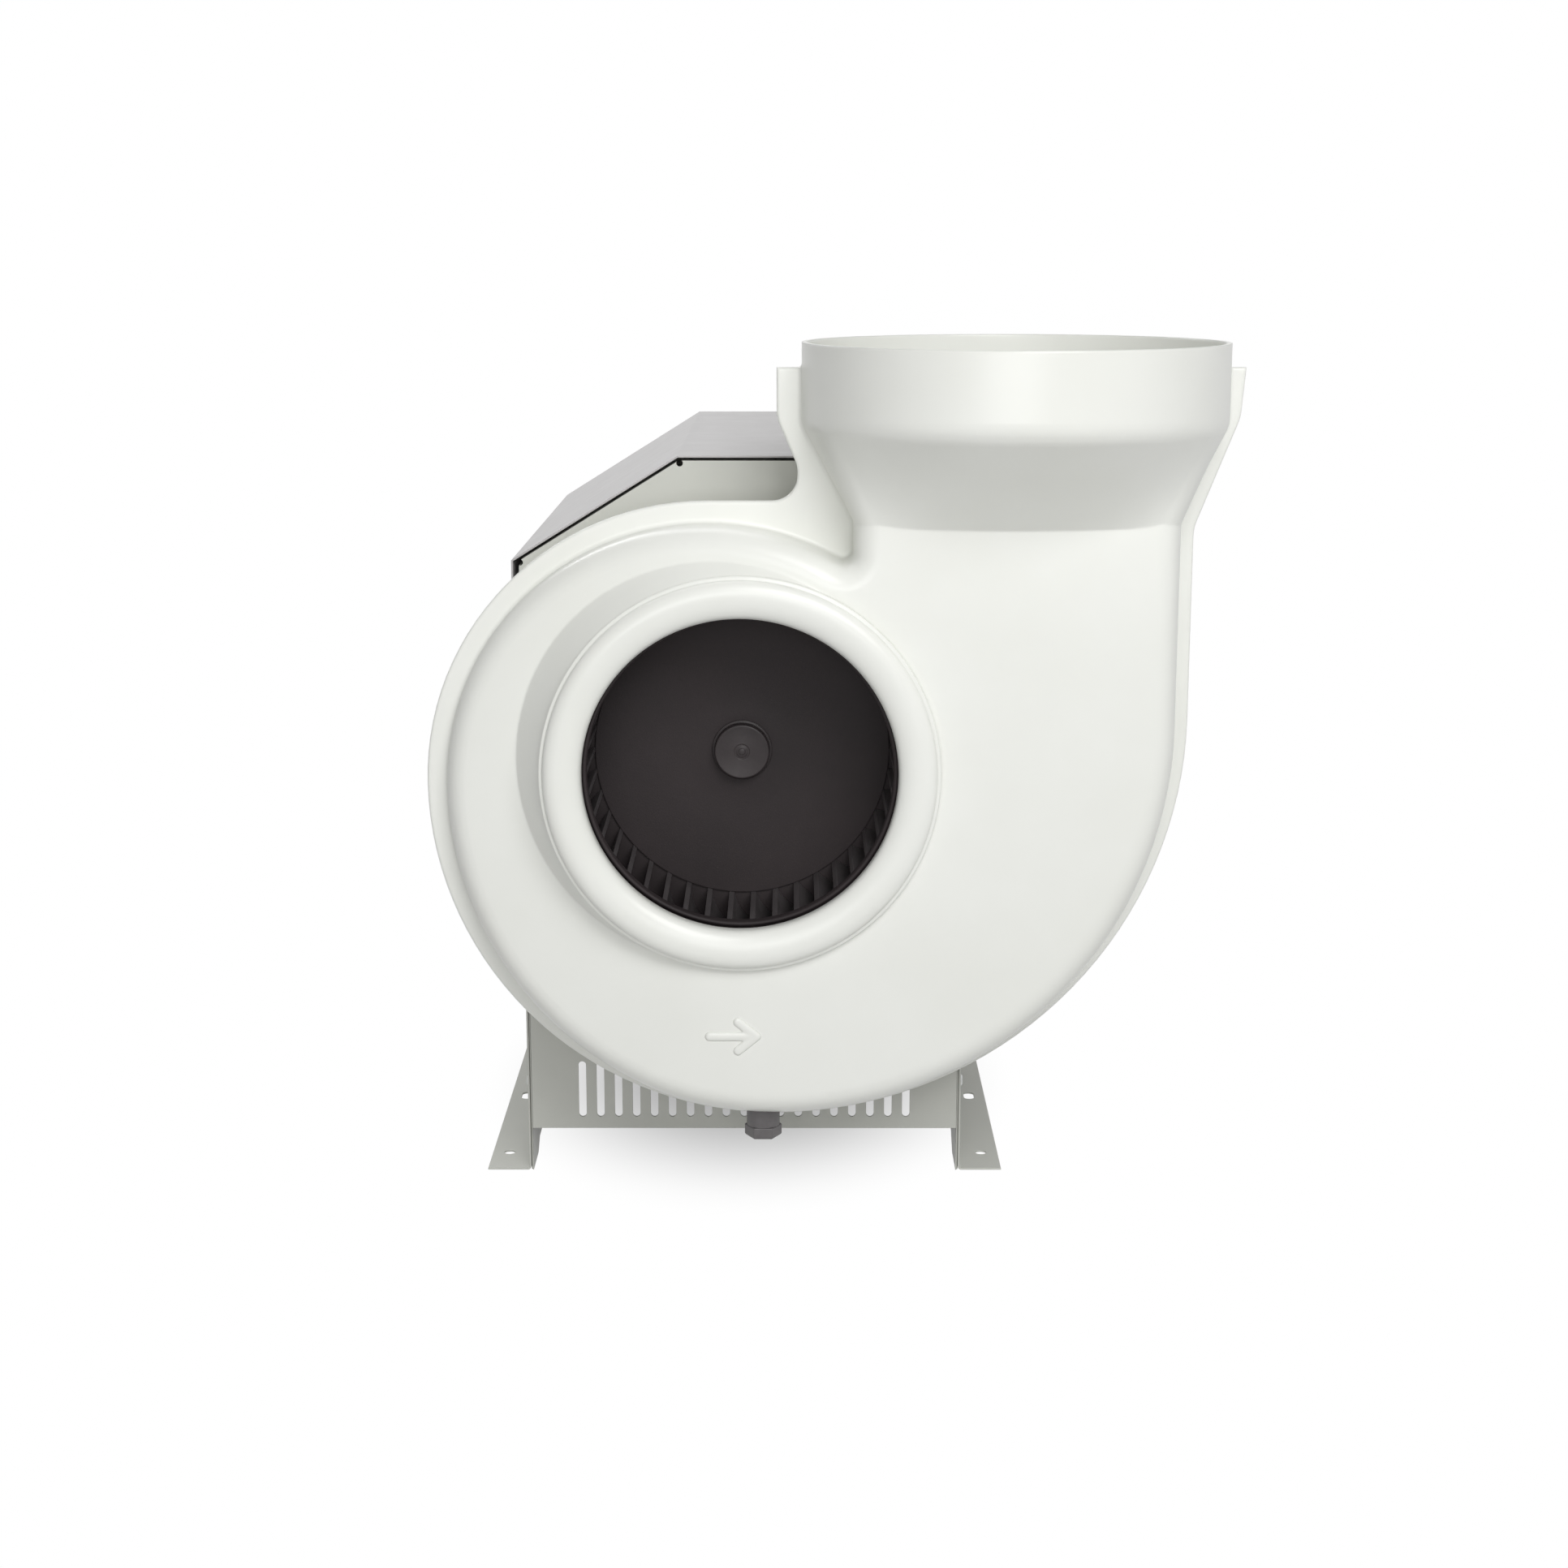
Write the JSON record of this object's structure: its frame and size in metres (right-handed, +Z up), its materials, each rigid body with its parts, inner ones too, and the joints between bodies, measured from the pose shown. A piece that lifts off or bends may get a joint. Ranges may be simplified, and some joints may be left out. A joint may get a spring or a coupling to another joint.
{
  "type": "centrifugal plastic blower",
  "caption": "Single-inlet centrifugal blower: off-white moulded scroll casing with round top outlet, black drum impeller, flange motor under a sheet-metal stand with rain hood.",
  "frame": {"origin": "centre of the foot bolt pattern on the floor, straight below the shaft axis at half the stand's depth", "axes": "+Z up along the outlet spigot, the inlet faces -Y, +X towards the outlet side as seen from the inlet"},
  "size_m": [0.612, 0.7545, 0.673],
  "materials": {
    "casing_pvc": "glossy moulded off-white plastic",
    "drain_pvc": "dark grey moulded pvc",
    "seal_rubber": "matte",
    "stand_paint": "satin warm grey powder coat on folded sheet",
    "zinc_steel": "zinc plated",
    "motor_aluminium": "grey painted die casting",
    "motor_cowl_paint": "grey painted sheet",
    "core_steel": "laminated steel",
    "winding_copper": "varnished copper",
    "impeller_polypropylene": "black moulded plastic",
    "black_nylon": "black nylon"
  },
  "bodies": {
    "housing": {"front_casing": "casing_pvc", "rear_casing": "casing_pvc", "inlet_ring": "casing_pvc", "drain_socket": "drain_pvc", "drain_cap": "drain_pvc", "shaft_seal": "seal_rubber", "casing_screws": "zinc_steel", "front_panel": "stand_paint", "rear_panel": "stand_paint", "left_side_plate": "stand_paint", "right_side_plate": "stand_paint", "motor_hood": "stand_paint", "hood_spacers": "zinc_steel", "hood_screws": "zinc_steel", "side_screws": "zinc_steel", "motor_flange": "motor_aluminium", "motor_body": "motor_aluminium", "motor_rear_shield": "motor_aluminium", "motor_tie_bolts": "zinc_steel", "motor_bolts": "zinc_steel", "motor_nuts": "zinc_steel", "stator_core": "core_steel", "stator_windings": "winding_copper", "bearing_outer_rings": "zinc_steel", "fan_cowl": "motor_cowl_paint", "terminal_box": "motor_aluminium", "terminal_box_lid": "motor_aluminium", "terminal_box_screws": "zinc_steel", "cable_gland": "black_nylon"},
    "rotor": {"impeller_front_ring": "impeller_polypropylene", "impeller_blades": "impeller_polypropylene", "impeller_back_disc": "impeller_polypropylene", "impeller_hub": "impeller_polypropylene", "hub_cap": "impeller_polypropylene", "rotor_screw": "zinc_steel", "rotor_washer": "zinc_steel", "shaft_key": "zinc_steel", "motor_shaft": "zinc_steel", "rotor_core": "core_steel", "bearing_inner_rings": "zinc_steel", "bearing_balls": "zinc_steel", "cooling_fan": "black_nylon"}
  },
  "joints": [
    {"name": "impeller_spin", "type": "hinge", "parent": "housing", "child": "rotor", "pos_m": [0, -0.337, 0.36], "axis": [0, -1, 0], "continuous": true}
  ]
}
